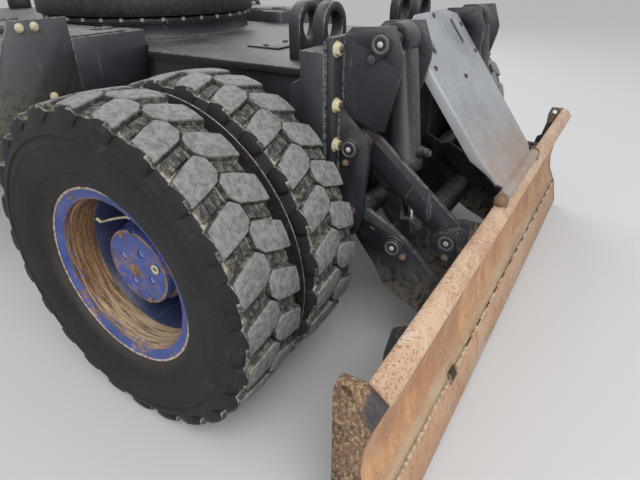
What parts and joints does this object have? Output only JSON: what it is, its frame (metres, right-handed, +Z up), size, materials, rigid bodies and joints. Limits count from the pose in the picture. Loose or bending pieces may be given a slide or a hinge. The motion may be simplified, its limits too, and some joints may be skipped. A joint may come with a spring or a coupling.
{
  "type": "wheeled excavator undercarriage",
  "caption": "Undercarriage of a wheeled excavator: frame with slewing ring, two axles on twin tyres, steering and a dozer blade on a lifting linkage.",
  "frame": {"origin": "on the ground, under the slewing axis, which is also the bottom centre of the bounding box", "axes": "+X forward to the steered axle, +Y left, +Z up; the blade is at the -X end"},
  "size_m": [4.05, 2.55, 1.2318],
  "materials": {
    "frame_paint": "anthracite paint, dusty and worn",
    "axle_paint": "dark paint, dusty",
    "rim_paint": "blue paint with rust and dust",
    "tyre_rubber": "worn rubber with light dust on the lugs",
    "bare_steel": "dull, dirty",
    "ring_steel": "greased steel",
    "blade_steel": "worn and rusty",
    "guard_zinc": "galvanised, rust stained",
    "rod_chrome": "polished",
    "step_sheet": "grey paint, dusty"
  },
  "bodies": {
    "chassis": {"chassis_frame": "frame_paint", "slew_race_fixed": "ring_steel", "lashing_eyes": "frame_paint", "blade_brackets": "frame_paint", "bracket_cross": "frame_paint", "rear_axle_housing": "axle_paint", "travel_gearbox": "axle_paint", "front_axle_beam": "axle_paint", "drive_shaft": "axle_paint", "swivel_joint": "ring_steel", "steps": "step_sheet", "toolboxes": "step_sheet", "tow_bracket": "frame_paint", "steering_cylinder": "axle_paint"},
    "slew_upper": {"slew_ring": "ring_steel"},
    "knuckle_l": {"knuckle_left": "axle_paint"},
    "knuckle_r": {"knuckle_right": "axle_paint"},
    "steer_rod": {"steering_rod": "rod_chrome"},
    "wheel_rear_left": {"tyres_rear_left": "tyre_rubber", "rims_rear_left": "rim_paint", "hub_rear_left": "rim_paint", "stone_ring_rear_left": "bare_steel"},
    "wheel_rear_right": {"tyres_rear_right": "tyre_rubber", "rims_rear_right": "rim_paint", "hub_rear_right": "rim_paint", "stone_ring_rear_right": "bare_steel"},
    "wheel_front_left": {"tyres_front_left": "tyre_rubber", "rims_front_left": "rim_paint", "hub_front_left": "rim_paint", "stone_ring_front_left": "bare_steel"},
    "wheel_front_right": {"tyres_front_right": "tyre_rubber", "rims_front_right": "rim_paint", "hub_front_right": "rim_paint", "stone_ring_front_right": "bare_steel"},
    "arms": {"lift_arms": "frame_paint"},
    "links": {"upper_links": "frame_paint"},
    "blade": {"blade_board": "blade_steel", "blade_ends": "blade_steel", "cutting_edge": "blade_steel", "guard_rod": "blade_steel"},
    "guard_plate": {"guard": "guard_zinc"},
    "barrels": {"cylinder_barrels": "frame_paint"},
    "rods": {"cylinder_rods": "rod_chrome"},
    "lid_l": {"toolbox_lid_left": "step_sheet"},
    "lid_r": {"toolbox_lid_right": "step_sheet"}
  },
  "joints": [
    {"name": "slew", "type": "hinge", "parent": "chassis", "child": "slew_upper", "pos_m": [0, 0, 1.174], "axis": [0, 0, 1], "continuous": true},
    {"name": "steer_left", "type": "hinge", "parent": "chassis", "child": "knuckle_l", "pos_m": [1.5, 0.7, 0.525], "axis": [0, 0, 1], "range_deg": [-28, 28]},
    {"name": "steer_right", "type": "hinge", "parent": "chassis", "child": "knuckle_r", "pos_m": [1.5, -0.7, 0.525], "axis": [0, 0, 1], "range_deg": [-28, 28]},
    {"name": "steer_slide", "type": "slide", "parent": "chassis", "child": "steer_rod", "axis": [0, 1, 0], "range_m": [-0.11, 0.11]},
    {"name": "roll_rear_left", "type": "hinge", "parent": "chassis", "child": "wheel_rear_left", "pos_m": [-1.1, 0.964, 0.525], "axis": [0, 1, 0], "continuous": true},
    {"name": "roll_rear_right", "type": "hinge", "parent": "chassis", "child": "wheel_rear_right", "pos_m": [-1.1, -0.964, 0.525], "axis": [0, 1, 0], "continuous": true},
    {"name": "roll_front_left", "type": "hinge", "parent": "knuckle_l", "child": "wheel_front_left", "pos_m": [1.5, 0.964, 0.525], "axis": [0, 1, 0], "continuous": true},
    {"name": "roll_front_right", "type": "hinge", "parent": "knuckle_r", "child": "wheel_front_right", "pos_m": [1.5, -0.964, 0.525], "axis": [0, 1, 0], "continuous": true},
    {"name": "blade_lift", "type": "hinge", "parent": "chassis", "child": "arms", "pos_m": [-1.52, 0, 0.55], "axis": [0, 1, 0], "range_deg": [-22, 60]},
    {"name": "link_swing", "type": "hinge", "parent": "chassis", "child": "links", "pos_m": [-1.52, 0, 0.815], "axis": [0, 1, 0], "range_deg": [-22, 60]},
    {"name": "blade_level", "type": "hinge", "parent": "arms", "child": "blade", "pos_m": [-1.862, 0, 0.275], "axis": [0, 1, 0], "range_deg": [-60, 22]},
    {"name": "guard_tilt", "type": "hinge", "parent": "blade", "child": "guard_plate", "pos_m": [-1.965, 0, 0.628], "axis": [0, 1, 0], "range_deg": [-17.5, 41.5]},
    {"name": "barrel_swing", "type": "hinge", "parent": "chassis", "child": "barrels", "pos_m": [-1.6, 0, 1.135], "axis": [0, 1, 0], "range_deg": [-1.2, 2.8]},
    {"name": "rod_slide", "type": "slide", "parent": "barrels", "child": "rods", "axis": [-0.1342, 0, -0.991], "range_m": [-0.181, 0.076]},
    {"name": "lid_left", "type": "hinge", "parent": "chassis", "child": "lid_l", "pos_m": [-0.05, 0.554, 1.1062], "axis": [1, 0, 0], "range_deg": [0, 80]},
    {"name": "lid_right", "type": "hinge", "parent": "chassis", "child": "lid_r", "pos_m": [-0.05, -0.554, 1.1062], "axis": [-1, 0, 0], "range_deg": [0, 80]}
  ],
  "couplings": [
    {"joint": "steer_right", "follows": "steer_left", "ratio": 1},
    {"joint": "steer_slide", "follows": "steer_left", "m_per_rad": 0.216},
    {"joint": "link_swing", "follows": "blade_lift", "ratio": 1},
    {"joint": "blade_level", "follows": "blade_lift", "ratio": -1},
    {"joint": "guard_tilt", "follows": "blade_lift", "ratio": 0.68},
    {"joint": "barrel_swing", "follows": "blade_lift", "ratio": 0.045},
    {"joint": "rod_slide", "follows": "blade_lift", "m_per_rad": -0.172}
  ]
}
